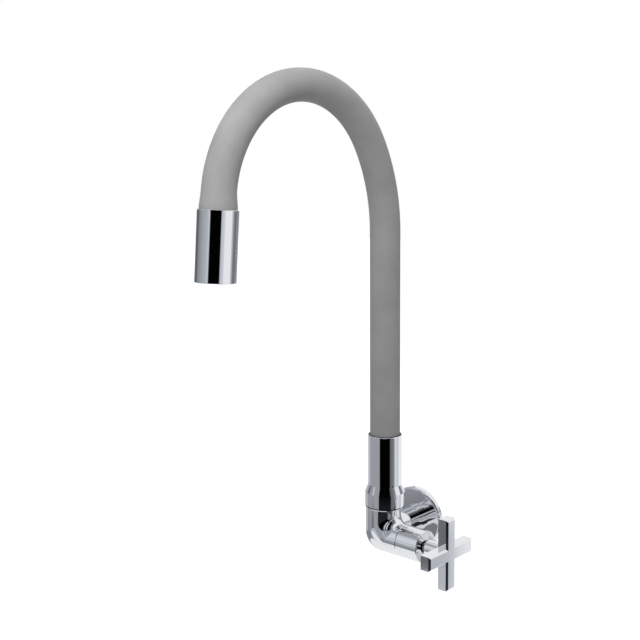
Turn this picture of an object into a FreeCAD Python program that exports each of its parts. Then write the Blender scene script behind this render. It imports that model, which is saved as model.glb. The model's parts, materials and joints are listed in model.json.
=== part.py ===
import FreeCAD, Part
import math
import os
import Sketcher

# Wall-mounted kitchen faucet: one supply, cross handle on the right, flexible silicone gooseneck.
# Frame: the origin is on the inlet axis at the wall plane, +Y goes into the wall, +X points to the
# handle and +Z is up. The riser stands in front of the wall, and the valve axis runs along X.

doc = FreeCAD.newDocument("WallFaucet")

SIZES = {
    # Places of the axes
    "riser_out": 51.5,
    "valve_drop": 4.6,
    # Fits
    "running_gap": 0.35,
    "slip_gap": 0.05,
    "screw_inset": 0.4,
    # Wall flange and its rings
    "flange_dia": 60.0,
    "flange_depth": 5.6,
    "flange_wall": 1.4,
    "flange_round": 2.2,
    "flange_neck_wall": 1.25,
    "flange_neck_len": 4.5,
    "gasket_width": 3.4,
    "grip_groove_at": 5.4,
    "grip_groove_depth": 1.3,
    "grip_groove_width": 1.8,
    # Inlet nipple
    "inlet_thread_dia": 20.955,
    "inlet_thread_len": 18.0,
    "thread_bevel": 1.2,
    "nipple_shoulder": 3.0,
    "nipple_spigot_dia": 15.8,
    "nipple_spigot_len": 24.0,
    "nipple_bore": 9.0,
    "ring_groove_width": 2.1,
    "ring_groove_depth": 1.4,
    "nipple_groove_first": 10.0,
    "nipple_groove_pitch": 5.0,
    "lock_groove_at": 21.5,
    "lock_groove_width": 4.6,
    "lock_groove_depth": 0.9,
    # Set screws
    "grub_dia": 4.0,
    "grub_socket": 2.3,
    "grub_socket_depth": 1.8,
    "grub_point": 0.6,
    # Corner casting
    "arm_dia": 23.0,
    "arm_socket_len": 26.0,
    "neck_dia": 33.1,
    "neck_shift": 2.0,
    "neck_ball_height": 3.0,
    "shoulder_dia": 37.2,
    "shoulder_foot_dia": 29.8,
    "shoulder_bottom": 25.4,
    "shoulder_top": 29.6,
    "limb_dia": 29.6,
    "limb_start": 17.6,
    "limb_end": 23.5,
    "limb_round": 8.5,
    "inner_round": 9.0,
    "seam_bevel": 0.35,
    "outlet_bore": 16.0,
    "outlet_floor": 13.0,
    "inlet_bore": 8.0,
    "transfer_bore": 4.0,
    "transfer_low": 7.9,
    "transfer_high": 15.0,
    # Swivel spigot and its rings
    "spigot_thread_dia": 20.0,
    "spigot_thread_len": 11.0,
    "spigot_dia": 27.4,
    "spigot_bore": 13.0,
    "spigot_top": 55.0,
    "spigot_groove_low": 42.5,
    "spigot_groove_pitch": 7.0,
    "spigot_bevel": 0.8,
    "swivel_lock_at": 35.6,
    "swivel_lock_width": 4.8,
    "swivel_lock_depth": 1.8,
    "thrust_ring_thick": 1.6,
    "thrust_ring_width": 4.0,
    # Valve housing
    "housing_end": 47.5,
    "housing_round": 0.8,
    "housing_spigot_dia": 22.0,
    "housing_spigot_len": 8.0,
    "housing_groove_back": 4.4,
    "housing_chamber": 17.4,
    "housing_recess_dia": 25.6,
    "housing_recess_depth": 4.0,
    # Ceramic cartridge
    "bonnet_thick": 1.2,
    "cartridge_thread_dia": 20.8,
    "cartridge_thread_len": 8.6,
    "cartridge_nose_dia": 16.0,
    "cartridge_neck_dia": 12.8,
    "cartridge_neck_end": 57.0,
    "chamber_dia": 13.4,
    "chamber_end": 41.2,
    "seat_seal_dia": 12.0,
    "seat_seal_bore": 8.4,
    "seat_seal_thick": 1.9,
    "disc_thick": 2.5,
    "port_angle": 76.0,
    "port_inner": 2.2,
    "port_outer": 5.6,
    "window_width": 8.0,
    "window_height": 7.0,
    # Spindle
    "spindle_dia": 8.0,
    "spindle_end": 63.5,
    "spindle_foot_thick": 2.6,
    "spindle_groove_first": 45.0,
    "spindle_groove_pitch": 5.5,
    "spindle_groove_depth": 1.2,
    "spindle_groove_width": 1.8,
    "spline_len": 5.0,
    "spline_depth": 0.4,
    "clip_thick": 0.8,
    "clip_dia": 10.8,
    "clip_groove_depth": 0.6,
    # Cross handle and hub
    "handle_back": 66.5,
    "handle_thick": 10.1,
    "handle_span": 65.4,
    "handle_arm_width": 13.1,
    "handle_bevel": 1.7,
    "handle_socket_depth": 6.0,
    "hub_dia": 16.4,
    "hub_start": 50.5,
    "hub_bevel": 0.6,
    "hub_boss_dia": 10.0,
    "hub_boss_len": 5.8,
    "hub_screw_at": 61.2,
    # Spout collar and socket
    "collar_dia": 37.4,
    "collar_bottom": 30.0,
    "collar_top": 43.0,
    "flare_foot": 50.2,
    "socket_dia": 31.6,
    "socket_top": 97.6,
    "socket_round": 0.7,
    "collar_bevel": 0.4,
    "collar_floor": 9.0,
    # Hose, core and sleeve
    "sleeve_dia": 28.0,
    "sleeve_bore": 21.0,
    "core_dia": 20.8,
    "core_bore": 16.6,
    "hose_dia": 13.5,
    "hose_bore": 8.0,
    "bend_start": 286.3,
    "low_radius": 158.4,
    "low_angle": 31.1,
    "top_radius": 98.0,
    "top_angle": 135.0,
    "far_radius": 83.8,
    "nozzle_tilt": 4.2,
    "flare_len": 11.0,
    "flare_dia": 30.4,
    "flare_bore": 24.1,
    "flare_seat": 3.8,
    # Hose fittings
    "fitting_thread_dia": 13.0,
    "fitting_head_dia": 16.0,
    "fitting_head_thick": 4.0,
    "barb_dia": 7.8,
    "barb_len": 17.0,
    "barb_bore": 5.4,
    "ferrule_dia": 16.0,
    "ferrule_len": 15.0,
    # Nozzle
    "nozzle_dia": 32.7,
    "nozzle_len": 56.7,
    "nozzle_round": 0.5,
    "nozzle_bore": 28.8,
    "nozzle_passage": 20.0,
    "nozzle_step": 13.9,
    "mandrel_len": 9.0,
    "mandrel_bore": 16.6,
    "connector_floor": 2.8,
    "washer_thick": 1.6,
    "washer_width": 3.4,
    "aerator_depth": 13.7,
    "aerator_thread_dia": 24.0,
    "aerator_bore": 20.4,
    "aerator_lip_dia": 17.6,
    "aerator_lip_thick": 1.0,
    "aerator_rim_dia": 26.0,
    "aerator_rim_thick": 1.8,
    "aerator_inset": 0.6,
    "insert_thick": 6.0,
    "insert_hole": 2.2,
    "insert_hole_circle": 13.0,
    "screen_thick": 0.8,
    "screen_hole": 1.4,
    "screen_pitch": 2.5,
}

sheet = doc.addObject("Spreadsheet::Sheet", "Sizes")
for row, (alias, number) in enumerate(SIZES.items(), start=1):
    sheet.set(f"A{row}", alias)
    sheet.set(f"B{row}", str(number))
    sheet.setAlias(f"B{row}", alias)
doc.recompute()


class Dim:
    """A size that carries its number and the sheet formula that gives it."""

    def __init__(self, number, formula):
        self.number = float(number)
        self.formula = formula

    def __add__(self, other):
        other = as_dim(other)
        return Dim(self.number + other.number, f"({self.formula} + {other.formula})")

    def __sub__(self, other):
        other = as_dim(other)
        return Dim(self.number - other.number, f"({self.formula} - {other.formula})")

    def __mul__(self, factor):
        return Dim(self.number * factor, f"({self.formula} * {factor})")

    def __truediv__(self, divisor):
        return Dim(self.number / divisor, f"({self.formula} / {divisor})")

    def __neg__(self):
        return Dim(-self.number, f"(-{self.formula})")

    def __float__(self):
        return self.number


def as_dim(value):
    """The value itself, or a plain number as a Dim."""
    return value if isinstance(value, Dim) else Dim(value, repr(float(value)))


class Sizes:
    """Every alias of the sheet as a Dim."""

    def __getattr__(self, alias):
        return Dim(sheet.get(alias), f"Sizes.{alias}")


size = Sizes()
nodes = []
X_AXIS = FreeCAD.Vector(1, 0, 0)
Y_AXIS = FreeCAD.Vector(0, 1, 0)
Z_AXIS = FreeCAD.Vector(0, 0, 1)
CLOSE = size.slip_gap.number / 100
VOLUME_SHARE = 0.001
SPLINE_TEETH = 16
SPLINE_FLANK_SHARE = 1.5
SCREEN_RINGS = 3
HOLES_IN_FIRST_RING = 6
INSERT_JETS = 8


def point(x, y, z):
    """A vector from sizes or numbers."""
    return FreeCAD.Vector(float(x), float(y), float(z))


def at_wall():
    """Local +Z runs from the wall towards the user, on the inlet axis."""
    return FreeCAD.Placement(point(0, 0, 0), FreeCAD.Rotation(X_AXIS, 90))


def at_riser():
    """Local +Z runs up the riser from the valve axis."""
    return FreeCAD.Placement(point(0, -size.riser_out, -size.valve_drop), FreeCAD.Rotation())


def at_valve():
    """Local +Z runs along the valve axis from the riser towards the handle."""
    base = point(0, -size.riser_out, -size.valve_drop)
    return FreeCAD.Placement(base, FreeCAD.Rotation(Y_AXIS, 90))


def at_nozzle():
    """Local +Z runs down the nozzle from its top rim."""
    out, up, heading = neck_end()
    base = point(0, -size.riser_out - out, up - size.valve_drop.number)
    return FreeCAD.Placement(base, FreeCAD.Rotation(X_AXIS, heading))


def neck_arcs():
    """The three tangent arcs of the gooseneck, each as (radius, turn in degrees)."""
    last = 180 - size.nozzle_tilt.number - size.low_angle.number - size.top_angle.number
    return [
        (size.low_radius.number, size.low_angle.number),
        (size.top_radius.number, size.top_angle.number),
        (size.far_radius.number, last),
    ]


def neck_end():
    """Place and heading of the nozzle's top rim, measured out and up from the riser's foot."""
    out, up, heading = 0.0, size.bend_start.number, 0.0
    for radius, turn in neck_arcs():
        start = math.radians(heading)
        end = math.radians(heading + turn)
        out += radius * (math.cos(start) - math.cos(end))
        up += radius * (math.sin(end) - math.sin(start))
        heading += turn
    slope = math.radians(heading)
    out += size.flare_len.number * math.sin(slope)
    up += size.flare_len.number * math.cos(slope)
    return out, up, heading


def plane_of(body, role):
    """The origin plane of a body with this role."""
    for feature in body.Origin.OriginFeatures:
        if feature.Role == role:
            return feature
    raise ValueError(role)


def sketch_on(body, role, name, offset=None):
    """A new sketch on an origin plane of its body, moved along the plane's normal by the offset."""
    sketch = body.newObject("Sketcher::SketchObject", name)
    sketch.AttachmentSupport = (plane_of(body, role), [""])
    sketch.MapMode = "FlatFace"
    if offset is not None:
        sketch.setExpression("AttachmentOffset.Base.z", offset.formula)
    return sketch


def draw_outline(sketch, corners):
    """A closed outline of straight lines whose corners are bound to the sheet."""
    corners = [(as_dim(x), as_dim(y)) for x, y in corners]
    points = [point(x, y, 0) for x, y in corners]
    lines = [Part.LineSegment(a, b) for a, b in zip(points, points[1:] + points[:1])]
    sketch.addGeometry(lines, False)
    rules = []
    formulas = []
    for index, (x, y) in enumerate(corners):
        rules.append(Sketcher.Constraint("Coincident", index, 2, (index + 1) % len(corners), 1))
        for kind, axis, value in (("DistanceX", -2, x), ("DistanceY", -1, y)):
            if value.number == 0:
                rules.append(Sketcher.Constraint("PointOnObject", index, 1, axis))
            else:
                formulas.append((len(rules), value.formula))
                rules.append(Sketcher.Constraint(kind, -1, 1, index, 1, value.number))
    sketch.addConstraint(rules)
    for number, formula in formulas:
        sketch.setExpression(f"Constraints[{number}]", formula)


def draw_circle(sketch, diameter, x=0, y=0):
    """A circle bound to the sheet, centred on the sketch's origin or at (x, y)."""
    index = sketch.addGeometry(Part.Circle(point(x, y, 0), Z_AXIS, float(diameter) / 2), False)
    rule = sketch.addConstraint(Sketcher.Constraint("Diameter", index, float(diameter)))
    sketch.setExpression(f"Constraints[{rule}]", diameter.formula)
    for kind, axis, value in (("DistanceX", -2, as_dim(x)), ("DistanceY", -1, as_dim(y))):
        if value.number == 0:
            sketch.addConstraint(Sketcher.Constraint("PointOnObject", index, 3, axis))
        else:
            rule = sketch.addConstraint(Sketcher.Constraint(kind, -1, 1, index, 3, value.number))
            sketch.setExpression(f"Constraints[{rule}]", value.formula)


def new_body(label, placement):
    """An empty body for one piece, in its place."""
    body = doc.addObject("PartDesign::Body", label)
    body.Label = label
    body.Placement = placement
    nodes.append(body)
    return body


def lathe(label, placement, corners):
    """A turned piece: its outline in (radius, height) is revolved about the local Z axis."""
    body = new_body(label, placement)
    sketch = sketch_on(body, "XZ_Plane", label + "_outline")
    draw_outline(sketch, corners)
    turned = body.newObject("PartDesign::Revolution", label + "_turned")
    turned.Profile = sketch
    turned.ReferenceAxis = (sketch, ["V_Axis"])
    turned.Angle = 360
    doc.recompute()
    return body


def ring_edges(shape, radius, height):
    """Names of the circular edges of this radius at this local height."""
    names = []
    for number, edge in enumerate(shape.Edges, start=1):
        curve = edge.Curve
        if not isinstance(curve, Part.Circle):
            continue
        near = abs(curve.Radius - float(radius)) < CLOSE and abs(curve.Center.z - float(height)) < CLOSE
        if near and abs(curve.Center.x) + abs(curve.Center.y) < CLOSE:
            names.append(f"Edge{number}")
    return names


def soften(body, kind, amount, rings):
    """Round (Fillet) or bevel (Chamfer) the turned edges at the given (radius, height) places."""
    base = body.Tip
    names = [name for radius, height in rings for name in ring_edges(base.Shape, radius, height)]
    feature = body.newObject("PartDesign::" + kind, body.Label + "_" + kind.lower())
    feature.Base = (base, names)
    feature.setExpression("Radius" if kind == "Fillet" else "Size", amount.formula)
    doc.recompute()


def pocket(body, sketch, length=None, midplane=False, reverse=False):
    """Cut the sketch out of the body, through everything unless a length is given."""
    cut = body.newObject("PartDesign::Pocket", sketch.Name + "_cut")
    cut.Profile = sketch
    cut.Type = "ThroughAll" if length is None else "Length"
    if length is not None:
        cut.setExpression("Length", length.formula)
    cut.Midplane = midplane
    cut.Reversed = reverse
    doc.recompute()
    return cut


def shaped(label, shape, placement):
    """A piece whose solid is worked out by formula from the sheet's sizes."""
    feature = doc.addObject("Part::Feature", label)
    feature.Label = label
    feature.Shape = shape
    feature.Placement = placement
    nodes.append(feature)
    return feature


def round_rings(label, placement, radius_inside, radius_outside, heights):
    """Sealing rings of round section, one at each height, as one node."""
    section = (float(radius_outside) - float(radius_inside)) / 2
    middle = float(radius_inside) + section
    rings = [Part.makeTorus(middle, section, point(0, 0, height), Z_AXIS) for height in heights]
    return shaped(label, rings[0] if len(rings) == 1 else Part.makeCompound(rings), placement)


def set_screw(label, placement, diameter, length):
    """A headless screw with a hexagon socket at its local top and a short point below."""
    radius = diameter / 2
    tip = radius - size.grub_point
    corners = [(0, 0), (tip, 0), (radius, size.grub_point), (radius, length), (0, length)]
    body = lathe(label, placement, corners)
    sketch = sketch_on(body, "XY_Plane", label + "_socket", length)
    side = size.grub_socket / 2
    high = side * math.sqrt(3) / 2
    hexagon = [(side, 0), (side / 2, high), (-side / 2, high), (-side, 0)]
    hexagon += [(-side / 2, -high), (side / 2, -high)]
    draw_outline(sketch, hexagon)
    pocket(body, sketch, size.grub_socket_depth)
    return body


def repeat_around(body, feature, sketch, count):
    """The feature repeated evenly about the sketch's own normal at its origin."""
    pattern = body.newObject("PartDesign::PolarPattern", feature.Name + "_pattern")
    pattern.Originals = [feature]
    pattern.Axis = (sketch, ["N_Axis"])
    pattern.Angle = 360
    pattern.Occurrences = count
    body.Tip = pattern
    doc.recompute()


def grooved(radius, start, end, grooves):
    """Outline corners along an outer wall, from start to end, with the (from, to, depth) grooves."""
    corners = [(radius, start)]
    for low, high, depth in grooves:
        corners += [(radius, low), (radius - depth, low), (radius - depth, high), (radius, high)]
    return corners + [(radius, end)]


def ring_grooves(centres):
    """The grooves of sealing rings, centred at these heights."""
    half = size.ring_groove_width / 2
    return [(centre - half, centre + half, size.ring_groove_depth) for centre in centres]


def cut_ports(body, start, turned):
    """Two opposite fan-shaped ports through a disc; start is the height of its far face."""
    half = math.radians(size.port_angle.number / 2)
    for side in (0, math.pi):
        corners = []
        middle = side + turned
        for radius, angles in ((size.port_inner, (half, -half)), (size.port_outer, (-half, 0, half))):
            corners += [(radius * math.cos(middle + a), radius * math.sin(middle + a)) for a in angles]
        name = f"{body.Label}_port_{'b' if side else 'a'}"
        sketch = sketch_on(body, "XY_Plane", name, start)
        draw_outline(sketch, corners)
        pocket(body, sketch, size.disc_thick * 2)


def primitive(kind, name, base=(0, 0, 0), turn=None, **sizes):
    """A Part primitive in the riser's frame whose sizes and place are bound to the sheet."""
    feature = doc.addObject("Part::" + kind, name)
    feature.Placement = FreeCAD.Placement(point(*base), turn or FreeCAD.Rotation())
    for axis, value in zip("xyz", base):
        if as_dim(value).number != 0:
            feature.setExpression(f"Placement.Base.{axis}", as_dim(value).formula)
    for field, value in sizes.items():
        feature.setExpression(field, value.formula)
    return feature


def neck_annulus(outer, inner, place, heading):
    """A ring-shaped face square to the gooseneck at a place on it."""
    slope = math.radians(heading)
    along = FreeCAD.Vector(0, -math.sin(slope), math.cos(slope))
    discs = []
    for diameter in (outer, inner):
        circle = Part.Circle(place, along, float(diameter) / 2)
        discs.append(Part.Face(Part.Wire(circle.toShape())))
    return discs[0].cut(discs[1]).Faces[0], along


def neck_tube(label, outer, inner, start, beyond, flared=False):
    """A round tube along the gooseneck, from a height on the riser to a place beyond the rim.

    It is made of straight runs and tangent arcs, so that its volume is section times length.
    """
    place = FreeCAD.Vector(0, 0, start.number)
    heading = 0.0
    face, along = neck_annulus(outer, inner, place, heading)
    run = size.bend_start.number - start.number
    pieces = [face.extrude(along * run)]
    length = run
    place = place + along * run
    for radius, turn in neck_arcs():
        slope = math.radians(heading)
        inward = FreeCAD.Vector(0, -math.cos(slope), -math.sin(slope))
        middle = place + inward * radius
        face, along = neck_annulus(outer, inner, place, heading)
        pieces.append(face.revolve(middle, X_AXIS, turn))
        length += radius * math.radians(turn)
        place = middle + FreeCAD.Rotation(X_AXIS, turn).multVec(place - middle)
        heading += turn
    run = size.flare_len.number + beyond.number
    if flared:
        run = 0.0
    face, along = neck_annulus(outer, inner, place, heading)
    if run > 0:
        pieces.append(face.extrude(along * run))
        length += run
    tube = pieces[0].multiFuse(pieces[1:])
    section = math.pi * (float(outer) ** 2 - float(inner) ** 2) / 4
    if abs(tube.Volume - section * length) > section * length * VOLUME_SHARE:
        raise ValueError(label + ": the tube's volume is not section times length")
    if flared:
        frame = FreeCAD.Placement(place, FreeCAD.Rotation(X_AXIS, heading))
        tube = tube.fuse(flare_shape(frame))
    if not tube.isValid() or len(tube.Solids) != 1:
        raise ValueError(label + ": the tube is not one solid")
    return shaped(label, tube.Solids[0], at_riser())


def flare_shape(frame):
    """The sleeve's widened end: a cone up to the rim and a straight seat inside the nozzle."""
    seat_end = size.flare_len + size.flare_seat
    corners = [
        (size.sleeve_bore / 2, as_dim(0)),
        (size.sleeve_dia / 2, as_dim(0)),
        (size.flare_dia / 2, size.flare_len),
        (size.flare_dia / 2, seat_end),
        (size.flare_bore / 2, seat_end),
        (size.flare_bore / 2, size.flare_len),
    ]
    outline = [point(x, 0, z) for x, z in corners]
    face = Part.Face(Part.makePolygon(outline + outline[:1]))
    solid = face.revolve(point(0, 0, 0), Z_AXIS, 360)
    solid.Placement = frame
    return solid


def rounded(name, base, edges, amount):
    """The base with these edges rounded."""
    feature = doc.addObject("Part::Fillet", name)
    feature.Base = base
    feature.Edges = [(number, float(amount), float(amount)) for number in edges]
    doc.recompute()
    return feature


def bevelled(name, base, edges, amount):
    """The base with these edges bevelled."""
    feature = doc.addObject("Part::Chamfer", name)
    feature.Base = base
    feature.Edges = [(number, float(amount), float(amount)) for number in edges]
    doc.recompute()
    return feature


def edges_where(shape, test):
    """Numbers of the edges that pass the test."""
    return [number for number, edge in enumerate(shape.Edges, start=1) if test(edge)]


def is_ring_at(edge, x):
    """Whether the edge is a circle square to the valve axis at this place."""
    return isinstance(edge.Curve, Part.Circle) and abs(edge.Curve.Center.x - float(x)) < CLOSE


def is_meeting_line(edge):
    """Whether the edge is where the neck and its ball run into the limb."""
    return not isinstance(edge.Curve, (Part.Circle, Part.Line))


def flat_washer(label, outer_r, foot):
    """A flat sealing ring in the nozzle."""
    top = foot + size.washer_thick
    inner_r = outer_r - size.washer_width
    return lathe(label, at_nozzle(), [
        (inner_r, foot), (outer_r, foot), (outer_r, top), (inner_r, top),
    ])


# Wall side: heights are distances in front of the wall plane.
flange_r = size.flange_dia / 2
arm_slide = size.arm_dia / 2 + size.slip_gap
flange_top = size.flange_depth + size.flange_neck_len
flange = lathe("wall_flange", at_wall(), [
    (arm_slide, flange_top),
    (arm_slide + size.flange_neck_wall, flange_top),
    (arm_slide + size.flange_neck_wall, size.flange_depth),
    (flange_r, size.flange_depth),
    (flange_r, 0),
    (flange_r - size.flange_wall, 0),
    (flange_r - size.flange_wall, size.flange_depth - size.flange_wall),
    (arm_slide, size.flange_depth - size.flange_wall),
])
soften(flange, "Fillet", size.flange_round, [(flange_r, size.flange_depth)])

gasket_r = flange_r - size.flange_wall - size.slip_gap
lathe("wall_gasket", at_wall(), [
    (gasket_r - size.gasket_width, 0),
    (gasket_r, 0),
    (gasket_r, size.flange_depth - size.flange_wall),
    (gasket_r - size.gasket_width, size.flange_depth - size.flange_wall),
])

grip_section = size.arm_dia / 2 - size.grip_groove_depth + size.slip_gap
round_rings("flange_grip_ring", at_wall(), grip_section, size.arm_dia / 2,
            [size.grip_groove_at + size.grip_groove_width / 2])

thread_r = size.inlet_thread_dia / 2
spigot_end = size.nipple_shoulder + size.nipple_spigot_len
nipple_rings = [size.nipple_groove_first, size.nipple_groove_first + size.nipple_groove_pitch]
lock = (size.lock_groove_at - size.lock_groove_width / 2,
        size.lock_groove_at + size.lock_groove_width / 2, size.lock_groove_depth)
lathe("inlet_nipple", at_wall(), [
    (size.nipple_bore / 2, -size.inlet_thread_len),
    (thread_r - size.thread_bevel, -size.inlet_thread_len),
    (thread_r, size.thread_bevel - size.inlet_thread_len),
    (thread_r, 0),
    (size.arm_dia / 2, 0),
    (size.arm_dia / 2, size.nipple_shoulder),
    *grooved(size.nipple_spigot_dia / 2, size.nipple_shoulder, spigot_end,
             ring_grooves(nipple_rings) + [lock]),
    (size.nipple_bore / 2, spigot_end),
])
arm_bore_r = size.nipple_spigot_dia / 2 + size.slip_gap
round_rings("nipple_rings", at_wall(),
            size.nipple_spigot_dia / 2 - size.ring_groove_depth + size.slip_gap,
            arm_bore_r - size.slip_gap, nipple_rings)

lock_floor = size.nipple_spigot_dia / 2 - size.lock_groove_depth
arm_screw_len = size.arm_dia / 2 - size.screw_inset - lock_floor - size.slip_gap
down = FreeCAD.Rotation(X_AXIS, 180)
set_screw("arm_screw",
          FreeCAD.Placement(point(0, -size.lock_groove_at, -lock_floor - size.slip_gap), down),
          size.grub_dia, arm_screw_len)

# Corner casting: arm to the wall, neck under the spout and limb towards the valve.
# Sizes are in the riser's frame; the arm's axis lies above the valve axis by the valve drop.
to_wall = FreeCAD.Rotation(X_AXIS, -90)
to_handle = FreeCAD.Rotation(Y_AXIS, 90)
under = FreeCAD.Rotation(X_AXIS, 180)
neck_r = size.neck_dia / 2
half_turn = FreeCAD.Rotation(Z_AXIS, 180)
neck = primitive("Cylinder", "neck_wall", (-size.neck_shift, 0, size.neck_ball_height),
                 half_turn, Radius=neck_r, Height=size.shoulder_top - size.neck_ball_height)
ball = primitive("Sphere", "neck_ball", (-size.neck_shift, 0, size.neck_ball_height),
                 half_turn, Radius=neck_r)
limb = primitive("Cylinder", "limb_wall", (-size.limb_start, 0, 0), to_handle,
                 Radius=size.limb_dia / 2, Height=size.limb_start + size.limb_end)
arm = primitive("Cylinder", "arm_wall", (0, 0, size.valve_drop), to_wall,
                Radius=size.arm_dia / 2, Height=size.riser_out - size.nipple_shoulder)
shoulder = primitive("Cone", "neck_shoulder", (0, 0, size.shoulder_bottom),
                     Radius1=size.shoulder_foot_dia / 2, Radius2=size.shoulder_dia / 2,
                     Height=size.shoulder_top - size.shoulder_bottom)
doc.recompute()

limb_edges = edges_where(limb.Shape, lambda edge: is_ring_at(edge, -size.limb_start))
round_limb = rounded("limb_rounded", limb, limb_edges, size.limb_round)
limb_edges = edges_where(round_limb.Shape, lambda edge: is_ring_at(edge, size.limb_end))
seam_limb = bevelled("limb_bevelled", round_limb, limb_edges, size.seam_bevel)
joined = doc.addObject("Part::MultiFuse", "casting_joined")
joined.Shapes = [neck, ball, seam_limb]
joined.Refine = True
doc.recompute()

bend_edges = edges_where(joined.Shape, is_meeting_line)
bend = rounded("casting_bend", joined, bend_edges, size.inner_round)
outside = doc.addObject("Part::MultiFuse", "casting_outside")
outside.Shapes = [bend, shoulder, arm]
doc.recompute()

socket_r = arm_bore_r
socket_end = size.nipple_shoulder + size.arm_socket_len
arm_socket = primitive("Cylinder", "arm_socket", (0, size.riser_out - socket_end, size.valve_drop),
                       to_wall, Radius=socket_r, Height=size.arm_socket_len)
inlet = primitive("Cylinder", "inlet_way", (0, 0, size.valve_drop), to_wall,
                  Radius=size.inlet_bore / 2, Height=size.riser_out - socket_end)
grip_high = size.riser_out - size.grip_groove_at
grip_cutter = primitive("Cylinder", "grip_cutter",
                        (0, grip_high - size.grip_groove_width, size.valve_drop), to_wall,
                        Radius=size.arm_dia, Height=size.grip_groove_width)
grip_core = primitive("Cylinder", "grip_core",
                      (0, grip_high - size.grip_groove_width, size.valve_drop), to_wall,
                      Radius=size.arm_dia / 2 - size.grip_groove_depth,
                      Height=size.grip_groove_width)
grip_groove = doc.addObject("Part::Cut", "grip_groove")
grip_groove.Base = grip_cutter
grip_groove.Tool = grip_core
screw_r = size.grub_dia / 2 + size.slip_gap
screw_way = primitive("Cylinder", "arm_screw_way",
                      (0, size.riser_out - size.lock_groove_at, size.valve_drop), under,
                      Radius=screw_r, Height=size.arm_dia)
counterbore_floor = size.limb_end - size.housing_spigot_len - size.screw_inset
counterbore = primitive("Cylinder", "valve_socket", (counterbore_floor, 0, 0), to_handle,
                        Radius=size.housing_spigot_dia / 2 + size.slip_gap,
                        Height=size.housing_spigot_len + size.limb_end)
seat_way = primitive("Cylinder", "seat_way", (0, 0, 0), to_handle,
                     Radius=size.inlet_bore / 2, Height=size.limb_end)
outlet = primitive("Cylinder", "outlet_way", (0, 0, size.outlet_floor),
                   Radius=size.outlet_bore / 2, Height=size.shoulder_top)
outlet_thread = primitive("Cylinder", "outlet_thread",
                          (0, 0, size.shoulder_top - size.spigot_thread_len - size.screw_inset),
                          Radius=size.spigot_thread_dia / 2 + size.slip_gap,
                          Height=size.shoulder_top)
rise = math.atan2(float(size.transfer_high - size.transfer_low), float(counterbore_floor))
transfer_turn = FreeCAD.Rotation(Y_AXIS, -90 + math.degrees(rise))
transfer = primitive("Cylinder", "transfer_way",
                     (counterbore_floor, 0, size.transfer_low), transfer_turn,
                     Radius=size.transfer_bore / 2, Height=counterbore_floor)
bores = doc.addObject("Part::MultiFuse", "casting_bores")
bores.Shapes = [arm_socket, inlet, grip_groove, screw_way, counterbore, seat_way, outlet,
                outlet_thread, transfer]
casting = doc.addObject("Part::Cut", "corner_body")
casting.Label = "corner_body"
casting.Base = outside
casting.Tool = bores
casting.Placement = at_riser()
nodes.append(casting)
doc.recompute()

# Swivel spigot on the casting, with its rings.
spigot_r = size.spigot_dia / 2
spigot_foot = size.shoulder_top - size.spigot_thread_len
spigot_rings = [size.spigot_groove_low, size.spigot_groove_low + size.spigot_groove_pitch]
swivel_lock = (size.swivel_lock_at - size.swivel_lock_width / 2,
               size.swivel_lock_at + size.swivel_lock_width / 2, size.swivel_lock_depth)
spigot = lathe("swivel_spigot", at_riser(), [
    (size.spigot_bore / 2, spigot_foot),
    (size.spigot_thread_dia / 2, spigot_foot),
    (size.spigot_thread_dia / 2, size.shoulder_top),
    *grooved(spigot_r, size.shoulder_top, size.spigot_top,
             [swivel_lock] + ring_grooves(spigot_rings)),
    (size.spigot_bore / 2, size.spigot_top),
])
soften(spigot, "Chamfer", size.spigot_bevel, [(spigot_r, size.spigot_top)])
round_rings("swivel_rings", at_riser(), spigot_r - size.ring_groove_depth + size.slip_gap,
            spigot_r, spigot_rings)
thrust_top = size.spigot_top + size.thrust_ring_thick
thrust_r = spigot_r - size.spigot_bevel
lathe("thrust_ring", at_riser(), [
    (thrust_r - size.thrust_ring_width, size.spigot_top),
    (thrust_r, size.spigot_top),
    (thrust_r, thrust_top),
    (thrust_r - size.thrust_ring_width, thrust_top),
])

# Valve housing and ceramic cartridge: heights are distances along the valve axis.
housing_foot = size.limb_end - size.housing_spigot_len
recess_floor = size.housing_end - size.housing_recess_depth
thread_foot = recess_floor - size.cartridge_thread_len
housing_groove = size.limb_end - size.housing_groove_back
housing = lathe("valve_housing", at_valve(), [
    (size.housing_chamber / 2, housing_foot),
    *grooved(size.housing_spigot_dia / 2, housing_foot, size.limb_end,
             ring_grooves([housing_groove])),
    (size.limb_dia / 2, size.limb_end),
    (size.limb_dia / 2, size.housing_end),
    (size.housing_recess_dia / 2, size.housing_end),
    (size.housing_recess_dia / 2, recess_floor),
    (size.cartridge_thread_dia / 2 + size.slip_gap, recess_floor),
    (size.cartridge_thread_dia / 2 + size.slip_gap, thread_foot),
    (size.housing_chamber / 2, thread_foot),
])
soften(housing, "Fillet", size.housing_round, [(size.limb_dia / 2, size.housing_end)])
soften(housing, "Chamfer", size.seam_bevel, [(size.limb_dia / 2, size.limb_end)])
round_rings("housing_ring", at_valve(),
            size.housing_spigot_dia / 2 - size.ring_groove_depth + size.slip_gap,
            size.housing_spigot_dia / 2, [housing_groove])

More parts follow.
